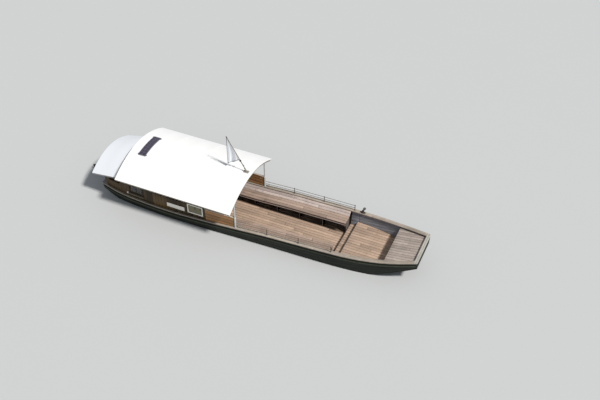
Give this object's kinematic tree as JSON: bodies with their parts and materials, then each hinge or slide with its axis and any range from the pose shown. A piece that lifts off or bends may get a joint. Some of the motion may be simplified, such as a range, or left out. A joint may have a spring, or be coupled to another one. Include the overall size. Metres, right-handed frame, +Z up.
{
  "type": "passenger ferry",
  "caption": "Flat-bottomed wooden river ferry held by a line: open foredeck with side benches, cabin under an arched white roof, steered from a stern rudder.",
  "frame": {"origin": "centre of the overall length and beam, at the underside of the flat bottom", "axes": "+X to the bow, +Y to port, +Z up"},
  "size_m": [12.4, 3.09, 3.5262],
  "materials": {
    "grey_wood": "weathered grey boards",
    "deck_wood": "weathered pinkish brown planks",
    "seat_wood": "worn oiled boards",
    "hull_wood": "dark tarred planking, worn",
    "wall_wood": "varnished brown boards",
    "roof_canvas": "painted white canvas, stretched over boards",
    "tail_canvas": "painted white canvas, slightly bluish",
    "painted_steel": "light paint",
    "dark_steel": "dark worn iron",
    "sign_paint": "matt cream paint",
    "solar_glass": "dark cells under glass",
    "flag_cloth": "thin woven cloth"
  },
  "bodies": {
    "hull": {"hull_side_port": "hull_wood", "gunwale_port": "grey_wood", "rub_strake_port": "grey_wood", "bench_seat_port": "seat_wood", "bench_back_port": "deck_wood", "cabin_bench_port": "seat_wood", "cabin_side_port": "wall_wood", "stern_side_port": "wall_wood", "bay_panel_port": "wall_wood", "bay_handrail_port": "grey_wood", "front_post_port": "painted_steel", "side_rail_port": "dark_steel", "hull_side_starboard": "hull_wood", "gunwale_starboard": "grey_wood", "rub_strake_starboard": "grey_wood", "bench_seat_starboard": "seat_wood", "bench_back_starboard": "deck_wood", "cabin_bench_starboard": "seat_wood", "cabin_side_starboard": "wall_wood", "stern_side_starboard": "wall_wood", "bay_panel_starboard": "wall_wood", "bay_handrail_starboard": "grey_wood", "front_post_starboard": "painted_steel", "side_rail_starboard": "dark_steel", "bottom_boards": "hull_wood", "bow_board": "hull_wood", "stern_board": "hull_wood", "bow_rim": "grey_wood", "stern_rim": "grey_wood", "cabin_floor": "deck_wood", "well_floor": "deck_wood", "entry_step": "deck_wood", "boarding_deck": "deck_wood", "bow_deck": "deck_wood", "helm_floor": "deck_wood", "stern_deck": "deck_wood", "main_roof": "roof_canvas", "tail_roof": "tail_canvas", "roof_beam_front": "wall_wood", "roof_beam_aft": "wall_wood", "roof_beam_middle": "wall_wood", "roof_rear_board": "wall_wood", "rear_wall": "wall_wood", "cabin_bulkhead": "wall_wood", "solar_panel": "solar_glass", "flag_bracket": "dark_steel", "flag_staff": "dark_steel", "flag": "flag_cloth", "banner_board": "sign_paint", "poster_board": "sign_paint", "rudder_brackets": "dark_steel", "tow_bracket": "dark_steel"},
    "cabin_door": {"cabin_door": "wall_wood"},
    "rudder": {"rudder": "hull_wood", "tiller": "dark_steel"},
    "tow_eye": {"tow_eye": "dark_steel"}
  },
  "joints": [
    {"name": "rudder_turn", "type": "hinge", "parent": "hull", "child": "rudder", "pos_m": [-5.165, 0, 0.6], "axis": [0, 0, 1], "range_deg": [-40, 40]},
    {"name": "door_swing", "type": "hinge", "parent": "hull", "child": "cabin_door", "pos_m": [-0.935, 0.352, 1], "axis": [0, 0, 1], "range_deg": [0, 100]},
    {"name": "tow_eye_swing", "type": "hinge", "parent": "hull", "child": "tow_eye", "pos_m": [3.78, 1.0366, 1.1052], "axis": [0, 0, 1], "range_deg": [-80, 80]}
  ]
}
